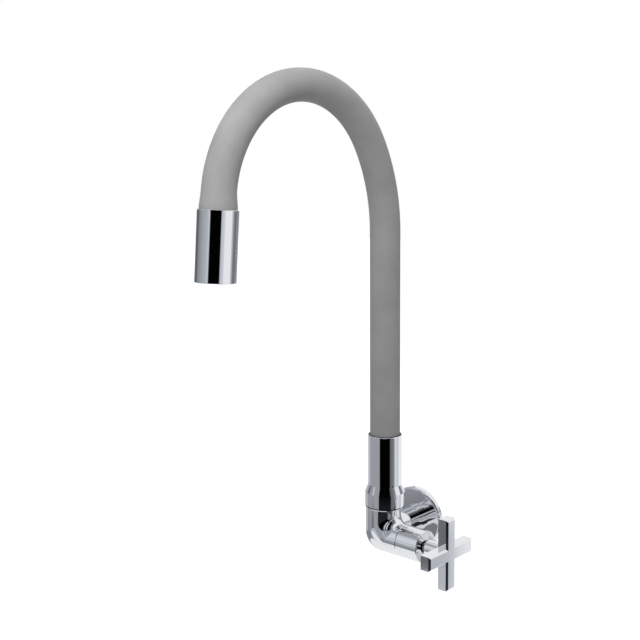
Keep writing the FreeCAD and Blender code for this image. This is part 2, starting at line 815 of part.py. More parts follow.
seal_top = counterbore_floor + size.seat_seal_thick
lathe("seat_seal", at_valve(), [
    (size.seat_seal_bore / 2, counterbore_floor),
    (size.seat_seal_dia / 2, counterbore_floor),
    (size.seat_seal_dia / 2, seal_top),
    (size.seat_seal_bore / 2, seal_top),
])
chamber_r = size.chamber_dia / 2
disc_r = chamber_r - size.slip_gap
fixed_top = seal_top + size.disc_thick
fixed_disc = lathe("fixed_disc", at_valve(), [
    (0, seal_top), (disc_r, seal_top), (disc_r, fixed_top), (0, fixed_top),
])
cut_ports(fixed_disc, fixed_top, 0)
turning_foot = fixed_top + size.slip_gap
turning_top = turning_foot + size.disc_thick
turning_disc = lathe("turning_disc", at_valve(), [
    (0, turning_foot), (disc_r, turning_foot), (disc_r, turning_top), (0, turning_top),
])
cut_ports(turning_disc, turning_top, math.pi / 2)

bonnet_r = size.housing_recess_dia / 2 - size.slip_gap
bonnet_top = recess_floor + size.bonnet_thick
stem_bore_r = size.spindle_dia / 2 + size.slip_gap
cartridge = lathe("cartridge_body", at_valve(), [
    (chamber_r, seal_top),
    (size.cartridge_nose_dia / 2, seal_top),
    (size.cartridge_nose_dia / 2, thread_foot),
    (size.cartridge_thread_dia / 2, thread_foot),
    (size.cartridge_thread_dia / 2, recess_floor),
    (bonnet_r, recess_floor),
    (bonnet_r, bonnet_top),
    (size.cartridge_neck_dia / 2, bonnet_top),
    (size.cartridge_neck_dia / 2, size.cartridge_neck_end),
    (stem_bore_r, size.cartridge_neck_end),
    (stem_bore_r, size.chamber_end),
    (chamber_r, size.chamber_end),
])
window_foot = turning_top
window_top = window_foot + size.window_height
half_window = size.window_width / 2
windows = sketch_on(cartridge, "XZ_Plane", "cartridge_windows")
draw_outline(windows, [
    (-half_window, window_foot), (half_window, window_foot),
    (half_window, window_top), (-half_window, window_top),
])
pocket(cartridge, windows, midplane=True)

# Spindle with its foot behind the turning disc.
stem_r = size.spindle_dia / 2
foot_r = chamber_r - size.running_gap
foot_top = turning_top + size.spindle_foot_thick
stem_rings = [size.spindle_groove_first, size.spindle_groove_first + size.spindle_groove_pitch]
half_groove = size.spindle_groove_width / 2
stem_grooves = [(c - half_groove, c + half_groove, size.spindle_groove_depth) for c in stem_rings]
clip_foot = size.cartridge_neck_end + size.running_gap
clip_top = clip_foot + size.clip_thick
spindle = lathe("spindle", at_valve(), [
    (0, turning_top),
    (foot_r, turning_top),
    (foot_r, foot_top),
    *grooved(stem_r, foot_top, size.spindle_end,
             stem_grooves + [(clip_foot, clip_top, size.clip_groove_depth)]),
    (0, size.spindle_end),
])
cut_ports(spindle, foot_top, math.pi / 2)
spline = sketch_on(spindle, "XY_Plane", "spindle_spline", size.spindle_end)
tooth = size.spline_depth
flank = tooth * SPLINE_FLANK_SHARE
draw_outline(spline, [(stem_r - tooth, 0), (stem_r + tooth, flank), (stem_r + tooth, -flank)])
spline_cut = pocket(spindle, spline, size.spline_len)
repeat_around(spindle, spline_cut, spline, SPLINE_TEETH)

round_rings("spindle_rings", at_valve(), stem_r - size.spindle_groove_depth + size.slip_gap,
            stem_r, stem_rings)
clip_bore_r = stem_r - size.clip_groove_depth + size.slip_gap
lathe("spindle_clip", at_valve(), [
    (clip_bore_r, clip_foot),
    (size.clip_dia / 2, clip_foot),
    (size.clip_dia / 2, clip_top),
    (clip_bore_r, clip_top),
])

# Hub and cross of the handle.
hub_r = size.hub_dia / 2
hub_cave_r = size.cartridge_neck_dia / 2 + size.running_gap
hub_step = clip_top + size.running_gap
hub_stop = size.spindle_end
hub = lathe("handle_hub", at_valve(), [
    (hub_cave_r, size.hub_start),
    (hub_r, size.hub_start),
    (hub_r, size.handle_back),
    (size.hub_boss_dia / 2, size.handle_back),
    (size.hub_boss_dia / 2, size.handle_back + size.hub_boss_len),
    (0, size.handle_back + size.hub_boss_len),
    (0, hub_stop),
    (stem_bore_r, hub_stop),
    (stem_bore_r, hub_step),
    (hub_cave_r, hub_step),
])
soften(hub, "Chamfer", size.hub_bevel, [(hub_r, size.hub_start)])
hub_hole = sketch_on(hub, "YZ_Plane", "hub_screw_hole")
draw_circle(hub_hole, size.grub_dia + size.slip_gap * 2, 0, size.hub_screw_at)
pocket(hub, hub_hole, reverse=True)
set_screw("hub_screw",
          FreeCAD.Placement(point(size.hub_screw_at, -size.riser_out,
                                  -size.valve_drop - stem_bore_r), down),
          size.grub_dia, hub_r - size.screw_inset - stem_bore_r)

cross = new_body("cross_handle", at_valve())
outline = sketch_on(cross, "XY_Plane", "cross_outline", size.handle_back)
reach = size.handle_span / 2
half_arm = size.handle_arm_width / 2
draw_outline(outline, [
    (half_arm, half_arm), (half_arm, reach), (-half_arm, reach), (-half_arm, half_arm),
    (-reach, half_arm), (-reach, -half_arm), (-half_arm, -half_arm), (-half_arm, -reach),
    (half_arm, -reach), (half_arm, -half_arm), (reach, -half_arm), (reach, half_arm),
])
cross_pad = cross.newObject("PartDesign::Pad", "cross_pad")
cross_pad.Profile = outline
cross_pad.setExpression("Length", size.handle_thick.formula)
doc.recompute()
boss_socket = sketch_on(cross, "XY_Plane", "cross_socket", size.handle_back)
draw_circle(boss_socket, size.hub_boss_dia + size.slip_gap * 2)
pocket(cross, boss_socket, size.handle_socket_depth, reverse=True)
front = size.handle_back + size.handle_thick
front_edges = []
for number, edge in enumerate(cross.Tip.Shape.Edges, start=1):
    heights = [vertex.Point.z for vertex in edge.Vertexes]
    if all(abs(height - front.number) < CLOSE for height in heights):
        front_edges.append(f"Edge{number}")
cross_block = cross.Tip
cross_bevel = cross.newObject("PartDesign::Chamfer", "cross_bevel")
cross_bevel.Base = (cross_block, front_edges)
cross_bevel.setExpression("Size", size.handle_bevel.formula)
doc.recompute()

# Spout foot: the turning collar with its socket for the sleeve.
collar_r = size.collar_dia / 2
web_foot = thrust_top + size.slip_gap
web_top = web_foot + size.collar_floor
collar_bore_r = spigot_r + size.slip_gap
sleeve_r = size.sleeve_dia / 2
fitting_r = size.fitting_thread_dia / 2
collar = lathe("spout_socket", at_riser(), [
    (collar_bore_r, size.collar_bottom),
    (collar_r, size.collar_bottom),
    (collar_r, size.collar_top),
    (size.socket_dia / 2, size.flare_foot),
    (size.socket_dia / 2, size.socket_top),
    (sleeve_r + size.slip_gap, size.socket_top),
    (sleeve_r + size.slip_gap, web_top),
    (fitting_r + size.slip_gap, web_top),
    (fitting_r + size.slip_gap, web_foot),
    (collar_bore_r, web_foot),
])
soften(collar, "Fillet", size.socket_round, [(size.socket_dia / 2, size.socket_top)])
soften(collar, "Chamfer", size.collar_bevel, [(collar_r, size.collar_bottom)])
collar_hole = sketch_on(collar, "XZ_Plane", "swivel_screw_hole")
draw_circle(collar_hole, size.grub_dia + size.slip_gap * 2, 0, size.swivel_lock_at)
pocket(collar, collar_hole)
swivel_tip = spigot_r - size.swivel_lock_depth + size.running_gap
set_screw("swivel_screw",
          FreeCAD.Placement(point(0, swivel_tip - size.riser_out,
                                  size.swivel_lock_at - size.valve_drop), to_wall),
          size.grub_dia, collar_r - size.screw_inset - swivel_tip)

head_top = web_top + size.fitting_head_thick
barb_r = size.barb_dia / 2
lathe("lower_fitting", at_riser(), [
    (size.barb_bore / 2, web_foot + size.screw_inset),
    (fitting_r, web_foot + size.screw_inset),
    (fitting_r, web_top),
    (size.fitting_head_dia / 2, web_top),
    (size.fitting_head_dia / 2, head_top),
    (barb_r, head_top),
    (barb_r, head_top + size.barb_len),
    (size.barb_bore / 2, head_top + size.barb_len),
])
ferrule_r = size.ferrule_dia / 2
crimp_r = size.hose_dia / 2 + size.slip_gap
lathe("lower_ferrule", at_riser(), [
    (crimp_r, head_top),
    (ferrule_r, head_top),
    (ferrule_r, head_top + size.ferrule_len),
    (crimp_r, head_top + size.ferrule_len),
])

# Gooseneck: silicone sleeve over an interlocked metal core over the water hose.
neck_tube("silicone_sleeve", size.sleeve_dia, size.sleeve_bore, web_top, as_dim(0), flared=True)
core_short = -size.mandrel_len - size.running_gap
neck_tube("gooseneck_core", size.core_dia, size.core_bore, web_top, core_short)
floor_top = size.flare_seat - size.connector_floor
neck_tube("inner_hose", size.hose_dia, size.hose_bore, head_top, floor_top)

# Nozzle: heights are distances down its axis from the rim.
mandrel_r = size.flare_bore / 2 - size.slip_gap
bore_widening = (size.flare_bore - size.sleeve_bore) / 2
mandrel_tip = mandrel_r - bore_widening * (size.mandrel_len.number / size.flare_len.number)
bore_r = size.nozzle_bore / 2
connector_end = size.nozzle_step - size.washer_thick
seat_end = size.flare_seat
# The barb and the ferrule stay on the hose's last straight run, short of where its bend ends.
straight_top = size.running_gap - size.flare_len
crimp_top = straight_top + size.barb_len - size.ferrule_len
lathe("nozzle_connector", at_nozzle(), [
    (size.barb_bore / 2, straight_top),
    (barb_r, straight_top),
    (barb_r, floor_top),
    (size.mandrel_bore / 2, floor_top),
    (size.mandrel_bore / 2, -size.mandrel_len),
    (mandrel_tip, -size.mandrel_len),
    (mandrel_r, 0),
    (mandrel_r, seat_end),
    (bore_r - size.slip_gap, seat_end),
    (bore_r - size.slip_gap, connector_end),
    (size.nozzle_passage / 2, connector_end),
    (size.nozzle_passage / 2, seat_end),
    (size.barb_bore / 2, seat_end),
])
lathe("upper_ferrule", at_nozzle(), [
    (crimp_r, crimp_top),
    (ferrule_r, crimp_top),
    (ferrule_r, floor_top),
    (crimp_r, floor_top),
])

flat_washer("connector_washer", bore_r - size.slip_gap, connector_end)
nozzle_r = size.nozzle_dia / 2
aerator_r = size.aerator_thread_dia / 2
rim_r = size.aerator_rim_dia / 2
rim_end = size.nozzle_len - size.aerator_inset
rim_foot = rim_end - size.aerator_rim_thick
aerator_step = size.nozzle_len - size.aerator_depth
flare_r = size.flare_dia / 2
shell = lathe("nozzle_shell", at_nozzle(), [
    (flare_r + size.slip_gap, 0),
    (nozzle_r, 0),
    (nozzle_r, size.nozzle_len),
    (rim_r + size.slip_gap, size.nozzle_len),
    (rim_r + size.slip_gap, rim_foot),
    (aerator_r + size.slip_gap, rim_foot),
    (aerator_r + size.slip_gap, aerator_step),
    (size.nozzle_passage / 2, aerator_step),
    (size.nozzle_passage / 2, size.nozzle_step),
    (bore_r, size.nozzle_step),
    (bore_r, seat_end),
    (flare_r + size.slip_gap, seat_end),
])
soften(shell, "Fillet", size.nozzle_round, [(nozzle_r, 0), (nozzle_r, size.nozzle_len)])
flat_washer("aerator_washer", aerator_r, aerator_step)
aerator_foot = aerator_step + size.washer_thick
aerator_bore_r = size.aerator_bore / 2
lip_top = rim_end - size.aerator_lip_thick
lathe("aerator_housing", at_nozzle(), [
    (aerator_bore_r, aerator_foot),
    (aerator_r, aerator_foot),
    (aerator_r, rim_foot),
    (rim_r, rim_foot),
    (rim_r, rim_end),
    (size.aerator_lip_dia / 2, rim_end),
    (size.aerator_lip_dia / 2, lip_top),
    (aerator_bore_r, lip_top),
])
screen_foot = lip_top - size.screen_thick
plate_r = aerator_bore_r - size.slip_gap
screen = lathe("aerator_screen", at_nozzle(), [
    (0, screen_foot), (plate_r, screen_foot), (plate_r, lip_top), (0, lip_top),
])
middle = sketch_on(screen, "XY_Plane", "screen_middle", lip_top)
draw_circle(middle, size.screen_hole)
pocket(screen, middle)
for ring in range(1, SCREEN_RINGS + 1):
    holes = sketch_on(screen, "XY_Plane", f"screen_ring_{ring}", lip_top)
    draw_circle(holes, size.screen_hole, size.screen_pitch * ring, 0)
    repeat_around(screen, pocket(screen, holes), holes, HOLES_IN_FIRST_RING * ring)
insert_foot = screen_foot - size.insert_thick
insert = lathe("aerator_insert", at_nozzle(), [
    (0, insert_foot), (plate_r, insert_foot), (plate_r, screen_foot), (0, screen_foot),
])
jets = sketch_on(insert, "XY_Plane", "insert_jets", screen_foot)
draw_circle(jets, size.insert_hole, size.insert_hole_circle / 2, 0)
repeat_around(insert, pocket(insert, jets), jets, INSERT_JETS)

doc.recompute()
for item in doc.Objects:
    if "Invalid" in item.State or "Error" in item.State:
        raise ValueError(item.Name + ": " + ", ".join(item.State))
for node in nodes:
    if node.Shape.isNull() or not node.Shape.isValid():
        raise ValueError(node.Label + ": no valid solid")

os.makedirs("parts", exist_ok=True)
for node in nodes:
    node.Shape.exportStep(f"parts/{node.Label}.step")
print(f"{len(nodes)} pieces written")
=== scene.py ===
import bmesh
import bpy
import json
import math
from mathutils import Matrix, Vector


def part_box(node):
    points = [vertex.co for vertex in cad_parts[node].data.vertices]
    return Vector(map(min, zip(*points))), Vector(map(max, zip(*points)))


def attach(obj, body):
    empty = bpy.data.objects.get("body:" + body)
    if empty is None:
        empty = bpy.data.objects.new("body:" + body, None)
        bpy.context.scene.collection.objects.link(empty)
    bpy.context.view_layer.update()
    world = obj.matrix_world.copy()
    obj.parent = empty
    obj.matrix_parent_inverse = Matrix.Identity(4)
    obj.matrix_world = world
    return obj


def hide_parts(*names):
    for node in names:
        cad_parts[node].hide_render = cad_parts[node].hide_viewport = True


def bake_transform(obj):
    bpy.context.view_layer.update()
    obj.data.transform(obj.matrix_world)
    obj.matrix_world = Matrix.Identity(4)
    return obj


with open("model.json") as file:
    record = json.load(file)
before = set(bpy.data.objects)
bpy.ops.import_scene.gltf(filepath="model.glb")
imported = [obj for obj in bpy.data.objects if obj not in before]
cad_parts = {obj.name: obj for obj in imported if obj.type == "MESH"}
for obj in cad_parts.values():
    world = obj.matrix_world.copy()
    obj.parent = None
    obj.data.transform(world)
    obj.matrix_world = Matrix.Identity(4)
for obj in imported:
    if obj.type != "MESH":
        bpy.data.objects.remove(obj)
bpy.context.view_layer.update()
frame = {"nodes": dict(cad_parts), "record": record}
print("frame loaded:", len(frame["nodes"]), "nodes")

# The riser's axis stands this far out from the wall, in metres
riserY = -0.0515


def aimed(place, way):
    # where a camera or a lamp stands, and the way it looks
    return Matrix.Translation(place) @ Vector(way).to_track_quat("-Z", "Y").to_matrix().to_4x4()


# Camera at the photograph's own place and framing, in metres and degrees
photoCamera = {
    "place": (0.6075, -0.8052, 0.3543),
    "forward": (-0.67068, 0.73406, -0.10653),
    "roll": -0.34,
    "lens": 59.44,
    "sensor": 36.0,
    "shiftY": -0.0837,
    "clipEnd": 20,
}
cameraData = bpy.data.cameras.new("photoCamera")
cameraData.lens = photoCamera["lens"]
cameraData.sensor_width = photoCamera["sensor"]
cameraData.shift_y = photoCamera["shiftY"]
cameraData.clip_end = photoCamera["clipEnd"]
camera = bpy.data.objects.new("photoCamera", cameraData)
bpy.context.collection.objects.link(camera)
roll = Matrix.Rotation(math.radians(photoCamera["roll"]), 4, "Z")
camera.matrix_world = aimed(photoCamera["place"], photoCamera["forward"]) @ roll
bpy.context.scene.camera = camera
bpy.context.scene.view_settings.view_transform = "Standard"
print("camera placed")


def linear(code):
    # sRGB hex to the linear colour that shaders take
    parts = [int(code[i:i + 2], 16) / 255 for i in (1, 3, 5)]
    return [c / 12.92 if c <= 0.04045 else ((c + 0.055) / 1.055) ** 2.4 for c in parts] + [1.0]


def addNode(tree, kind, links=None, inputs=None, **settings):
    # one node with its settings, input values and incoming links
    node = tree.nodes.new(kind)
    for key, value in settings.items():
        setattr(node, key, value)
    for key, value in (inputs or {}).items():
        node.inputs[key].default_value = value
    for key, source in (links or {}).items():
        tree.links.new(source, node.inputs[key])
    return node


def bareMaterial(name):
    material = bpy.data.materials.new(name)
    material.use_nodes = True
    material.node_tree.nodes.clear()
    return material, material.node_tree


def newMaterial(name):
    # a bare material with the object coordinates that its patterns follow
    material, tree = bareMaterial(name)
    return material, tree, addNode(tree, "ShaderNodeTexCoord").outputs["Object"]


def closeMaterial(tree, shader):
    addNode(tree, "ShaderNodeOutputMaterial", {"Surface": shader.outputs[0]})


def setRamp(node, stops):
    # stops of (position, sRGB hex)
    ramp = node.color_ramp
    ramp.elements[0].position, ramp.elements[0].color = stops[0][0], linear(stops[0][1])
    ramp.elements[1].position, ramp.elements[1].color = stops[-1][0], linear(stops[-1][1])
    for position, code in stops[1:-1]:
        ramp.elements.new(position).color = linear(code)


# Chrome plating over polished brass: a mirror with faint wipe marks and the slow waves of buffing
chrome = {
    "colour": "#e3e4e7", "roughLow": 0.035, "roughHigh": 0.075,
    "wipeMm": 9.0, "waveMm": 22.0, "waveDepthMm": 0.004,
}


def chromePlating():
    material, tree, place = newMaterial("chromePlating")
    wipe = addNode(tree, "ShaderNodeTexNoise", {"Vector": place},
                   {"Scale": 1000 / chrome["wipeMm"], "Detail": 6.0, "Roughness": 0.6})
    rough = addNode(tree, "ShaderNodeMapRange", {"Value": wipe.outputs["Fac"]},
                    {"From Min": 0.35, "From Max": 0.7,
                     "To Min": chrome["roughLow"], "To Max": chrome["roughHigh"]})
    wave = addNode(tree, "ShaderNodeTexNoise", {"Vector": place},
                   {"Scale": 1000 / chrome["waveMm"], "Detail": 1.0})
    bump = addNode(tree, "ShaderNodeBump", {"Height": wave.outputs["Fac"]},
                   {"Strength": 1.0, "Distance": chrome["waveDepthMm"] / 1000})
    shader = addNode(tree, "ShaderNodeBsdfPrincipled",
                     {"Roughness": rough.outputs["Result"], "Normal": bump.outputs["Normal"]},
                     {"Base Color": linear(chrome["colour"]), "Metallic": 1.0})
    closeMaterial(tree, shader)
    return material


# Turned brass: bare inside the housings, with the fine rings that a lathe tool leaves
brass = {
    "blotches": ((0.35, "#a98745"), (0.65, "#c9a860")), "rough": 0.28, "blotchMm": 6.0,
    "toolMm": 0.35, "toolDepthMm": 0.03,
}


def turnedBrass():
    material, tree, place = newMaterial("turnedBrass")
    blotch = addNode(tree, "ShaderNodeTexNoise", {"Vector": place},
                     {"Scale": 1000 / brass["blotchMm"], "Detail": 5.0})
    colour = addNode(tree, "ShaderNodeValToRGB", {"Fac": blotch.outputs["Fac"]})
    setRamp(colour, brass["blotches"])
    rings = addNode(tree, "ShaderNodeTexNoise", {"Vector": place},
                    {"Scale": 1000 / brass["toolMm"], "Detail": 2.0})
    bump = addNode(tree, "ShaderNodeBump", {"Height": rings.outputs["Fac"]},
                   {"Strength": 0.4, "Distance": brass["toolDepthMm"] / 1000})
    shader = addNode(tree, "ShaderNodeBsdfPrincipled",
                     {"Base Color": colour.outputs["Color"], "Normal": bump.outputs["Normal"]},
                     {"Metallic": 1.0, "Roughness": brass["rough"]})
    closeMaterial(tree, shader)
    return material


# Stainless steel of screws, clips, crimps and the screen: satin, slightly uneven
stainless = {
    "grains": ((0.3, "#93959a"), (0.7, "#b9babd")), "roughLow": 0.24, "roughHigh": 0.36,
    "grainMm": 0.9,
}


def satinSteel():
    material, tree, place = newMaterial("satinStainlessSteel")
    grain = addNode(tree, "ShaderNodeTexNoise", {"Vector": place},
                    {"Scale": 1000 / stainless["grainMm"], "Detail": 4.0})
    colour = addNode(tree, "ShaderNodeValToRGB", {"Fac": grain.outputs["Fac"]})
    setRamp(colour, stainless["grains"])
    rough = addNode(tree, "ShaderNodeMapRange", {"Value": grain.outputs["Fac"]},
                    {"To Min": stainless["roughLow"], "To Max": stainless["roughHigh"]})
    shader = addNode(tree, "ShaderNodeBsdfPrincipled",
                     {"Base Color": colour.outputs["Color"], "Roughness": rough.outputs["Result"]},
                     {"Metallic": 1.0})
    closeMaterial(tree, shader)
    return material


# Moulded silicone sleeve: matt grey, a dry bloom on the skin and a very fine orange peel
silicone = {
    "clouds": ((0.3, "#807f7e"), (0.5, "#878685"), (0.7, "#8d8c8b")), "rough": 0.62,
    "cloudMm": 40.0, "peelMm": 0.9, "peelDepthMm": 0.02,
}


def mouldedSilicone():
    material, tree, place = newMaterial("mouldedSilicone")
    cloud = addNode(tree, "ShaderNodeTexNoise", {"Vector": place},
                    {"Scale": 1000 / silicone["cloudMm"], "Detail": 4.0, "Roughness": 0.55})
    colour = addNode(tree, "ShaderNodeValToRGB", {"Fac": cloud.outputs["Fac"]})
    setRamp(colour, silicone["clouds"])
    peel = addNode(tree, "ShaderNodeTexNoise", {"Vector": place},
                   {"Scale": 1000 / silicone["peelMm"], "Detail": 2.0})
    bump = addNode(tree, "ShaderNodeBump", {"Height": peel.outputs["Fac"]},
                   {"Strength": 0.5, "Distance": silicone["peelDepthMm"] / 1000})
    shader = addNode(tree, "ShaderNodeBsdfPrincipled",
                     {"Base Color": colour.outputs["Color"], "Normal": bump.outputs["Normal"]},
                     {"Roughness": silicone["rough"], "IOR": 1.41, "Sheen Weight": 0.12,
                      "Sheen Roughness": 0.5})
    closeMaterial(tree, shader)
    return material


# Nitrile rubber of the rings, seals and washers, and the black water hose
rubber = {
    "seal": "#141414", "hose": "#242426", "roughLow": 0.4, "roughHigh": 0.65,
    "grainMm": 0.6, "grainDepthMm": 0.03,
}


def blackRubber(name, code):
    material, tree, place = newMaterial(name)
    grain = addNode(tree, "ShaderNodeTexNoise", {"Vector": place},
                    {"Scale": 1000 / rubber["grainMm"], "Detail": 3.0})
    rough = addNode(tree, "ShaderNodeMapRange", {"Value": grain.outputs["Fac"]},
                    {"To Min": rubber["roughLow"], "To Max": rubber["roughHigh"]})
    bump = addNode(tree, "ShaderNodeBump", {"Height": grain.outputs["Fac"]},
                   {"Strength": 0.3, "Distance": rubber["grainDepthMm"] / 1000})
    shader = addNode(tree, "ShaderNodeBsdfPrincipled",
                     {"Roughness": rough.outputs["Result"], "Normal": bump.outputs["Normal"]},
                     {"Base Color": linear(code), "IOR": 1.52})
    closeMaterial(tree, shader)
    return material


# Acetal of the slip ring and the flow straightener: milky white, waxy
acetal = {"colour": "#e4e3de", "roughLow": 0.32, "roughHigh": 0.46, "grainMm": 3.0}


def mouldedAcetal():
    material, tree, place = newMaterial("mouldedAcetal")
    grain = addNode(tree, "ShaderNodeTexNoise", {"Vector": place},
                    {"Scale": 1000 / acetal["grainMm"], "Detail": 3.0})
    rough = addNode(tree, "ShaderNodeMapRange", {"Value": grain.outputs["Fac"]},
                    {"To Min": acetal["roughLow"], "To Max": acetal["roughHigh"]})
    shader = addNode(tree, "ShaderNodeBsdfPrincipled", {"Roughness": rough.outputs["Result"]},
                     {"Base Color": linear(acetal["colour"]), "IOR": 1.48})
    closeMaterial(tree, shader)
    return material


# Lapped alumina of the two valve discs: chalk white, nearly mirror flat
alumina = {"colour": "#e9e6df", "roughLow": 0.12, "roughHigh": 0.26, "speckMm": 0.5}


def lappedAlumina():
    material, tree, place = newMaterial("lappedAlumina")
    speck = addNode(tree, "ShaderNodeTexNoise", {"Vector": place},
                    {"Scale": 1000 / alumina["speckMm"], "Detail": 2.0})
    rough = addNode(tree, "ShaderNodeMapRange", {"Value": speck.outputs["Fac"]},
                    {"To Min": alumina["roughLow"], "To Max": alumina["roughHigh"]})
    shader = addNode(tree, "ShaderNodeBsdfPrincipled", {"Roughness": rough.outputs["Result"]},
                     {"Base Color": linear(alumina["colour"]), "IOR": 1.76})
    closeMaterial(tree, shader)
    return material


finishes = {
    "chrome": chromePlating(),
    "brass": turnedBrass(),
    "steel": satinSteel(),
    "silicone": mouldedSilicone(),
    "hose": blackRubber("hoseRubber", rubber["hose"]),
    "seal": blackRubber("nitrileRubber", rubber["seal"]),
    "polymer": mouldedAcetal(),
    "disc": lappedAlumina(),
}
slotOf = {part["node"]: part["material_slot"] for part in frame["record"]["subparts"]}
for name, node in frame["nodes"].items():
    node.data.materials.clear()
    node.data.materials.append(finishes[slotOf[name]])
print("finishes on the carried-over nodes")

# Points of a turned shape that lie nearer than this become one, in metres
weldDistance = 1e-7


def eased(share):
    # from 0 to 1 with a soft start and a soft end
    return share * share * (3 - 2 * share)


def growRings(shape, rings, sides):
    # a skin from ring to ring: each ring is a unit circle, put in its place by a matrix
    bmesh.ops.create_circle(shape, segments=sides, radius=1, matrix=rings[0])
    edges = list(shape.edges)
    for last, ring in zip(rings, rings[1:]):
        grown = bmesh.ops.extrude_edge_only(shape, edges=edges)["geom"]
        verts = [part for part in grown if isinstance(part, bmesh.types.BMVert)]
        edges = [part for part in grown if isinstance(part, bmesh.types.BMEdge)]
        bmesh.ops.transform(shape, matrix=ring @ last.inverted(), verts=verts)


def addObject(name, shape):
    mesh = bpy.data.meshes.new(name)
    shape.to_mesh(mesh)
    shape.free()
    piece = bpy.data.objects.new(name, mesh)
    bpy.context.collection.objects.link(piece)
    return piece


def turnedShape(name, corners, closed, sides, place):
    # an outline of (radius, height) turned round the local Z axis
    shape = bmesh.new()
    verts = [shape.verts.new((radius, 0, height)) for radius, height in corners]
    followers = verts[1:] + verts[:1] if closed else verts[1:]
    edges = [shape.edges.new(pair) for pair in zip(verts, followers)]
    bmesh.ops.spin(shape, geom=verts + edges, cent=(0, 0, 0), axis=(0, 0, 1), angle=math.tau,
                   steps=sides, use_merge=True)
    bmesh.ops.remove_doubles(shape, verts=shape.verts, dist=weldDistance)
    bmesh.ops.recalc_face_normals(shape, faces=shape.faces)
    bmesh.ops.transform(shape, matrix=place, verts=shape.verts)
    return addObject(name, shape)


# Corner casting, in metres from where the riser's axis meets the valve's axis. Neck, bend and limb
# are one sweep between an outer and an inner arc, and the arm stands on it towards the wall.
casting = {
    "place": (0, riserY, -0.0046), "steps": 32, "sides": 160, "weld": 1e-6, "creaseAngle": 25,
    "neckRadius": 0.01655, "neckShift": 0.002, "neckTop": 0.0296,
    "limbRadius": 0.0148, "limbEnd": 0.0235, "seamBevel": 0.00035,
    "outerArc": 0.0165, "innerArc": 0.008,
    "shoulder": ((0.0149, 0.0278), (0.0177, 0.0283), (0.0186, 0.0292), (0.0186, 0.0296)),
    "armRadius": 0.0115, "armHeight": 0.0046, "armEnd": 0.0485,
    "gripFloor": 0.0102, "gripGroove": (0.0443, 0.0461),
    "armSocket": (0.00795, 0.0225), "inletRadius": 0.004,
    "armScrew": (0.00205, 0.03), "valveSocket": (0.01105, 0.0151),
    "outlet": (0.008, 0.013), "outletThread": (0.01005, 0.0182), "overrun": 0.004,
}


def castingRing(outer, inner, halfWidth):
    # an oval across the casting, between two points in the plane of its bend
    across = (outer - inner) / 2
    wide = Vector((0, halfWidth, 0))
    ring = Matrix((across, wide, across.cross(wide).normalized() * halfWidth))
    ring = ring.transposed().to_4x4()
    ring.translation = (outer + inner) / 2
    return ring


def castingSweep():
    neck, limb = casting["neckRadius"], casting["limbRadius"]
    far, near = casting["outerArc"], casting["innerArc"]
    left, right = -casting["neckShift"] - neck, neck - casting["neckShift"]
    top, end, bevel = casting["neckTop"], casting["limbEnd"], casting["seamBevel"]
    rings = [castingRing(Vector((left, 0, top)), Vector((right, 0, top)), neck)]
    for step in range(casting["steps"] + 1):
        share = step / casting["steps"]
        turn = math.radians(90 * share)
        away = Vector((math.cos(turn), 0, math.sin(turn)))
        outer = Vector((left + far, 0, far - limb)) - away * far
        inner = Vector((right + near, 0, near + limb)) - away * near
        rings.append(castingRing(outer, inner, neck + (limb - neck) * eased(share)))
    for x, radius in ((end - bevel, limb), (end, limb - bevel)):
        rings.append(castingRing(Vector((x, 0, -radius)), Vector((x, 0, radius)), radius))
    shape = bmesh.new()
    growRings(shape, rings, casting["sides"])
    bmesh.ops.holes_fill(shape, edges=shape.edges, sides=0)
    bmesh.ops.recalc_face_normals(shape, faces=shape.faces)
    return addObject("cornerCasting", shape)


def turnedSolid(name, outline, place):
    # an outline that runs from the axis and back to it
    corners = [(0, outline[0][1]), *outline, (0, outline[-1][1])]
    return turnedShape(name, corners, False, casting["sides"], place)


def bore(name, radius, low, high, place):
    return turnedSolid(name, [(radius, low), (radius, high)], place)


def combine(piece, tools, operation):
    # each tool joined to the piece or cut from it, for good
    for tool in tools:
        modifier = piece.modifiers.new(tool.name, "BOOLEAN")
        modifier.operation = operation
        modifier.solver = "EXACT"
        modifier.object = tool
    graph = bpy.context.evaluated_depsgraph_get()
    mesh = bpy.data.meshes.new_from_object(piece.evaluated_get(graph))
    piece.modifiers.clear()
    piece.data = mesh
    for tool in tools:
        bpy.data.objects.remove(tool)


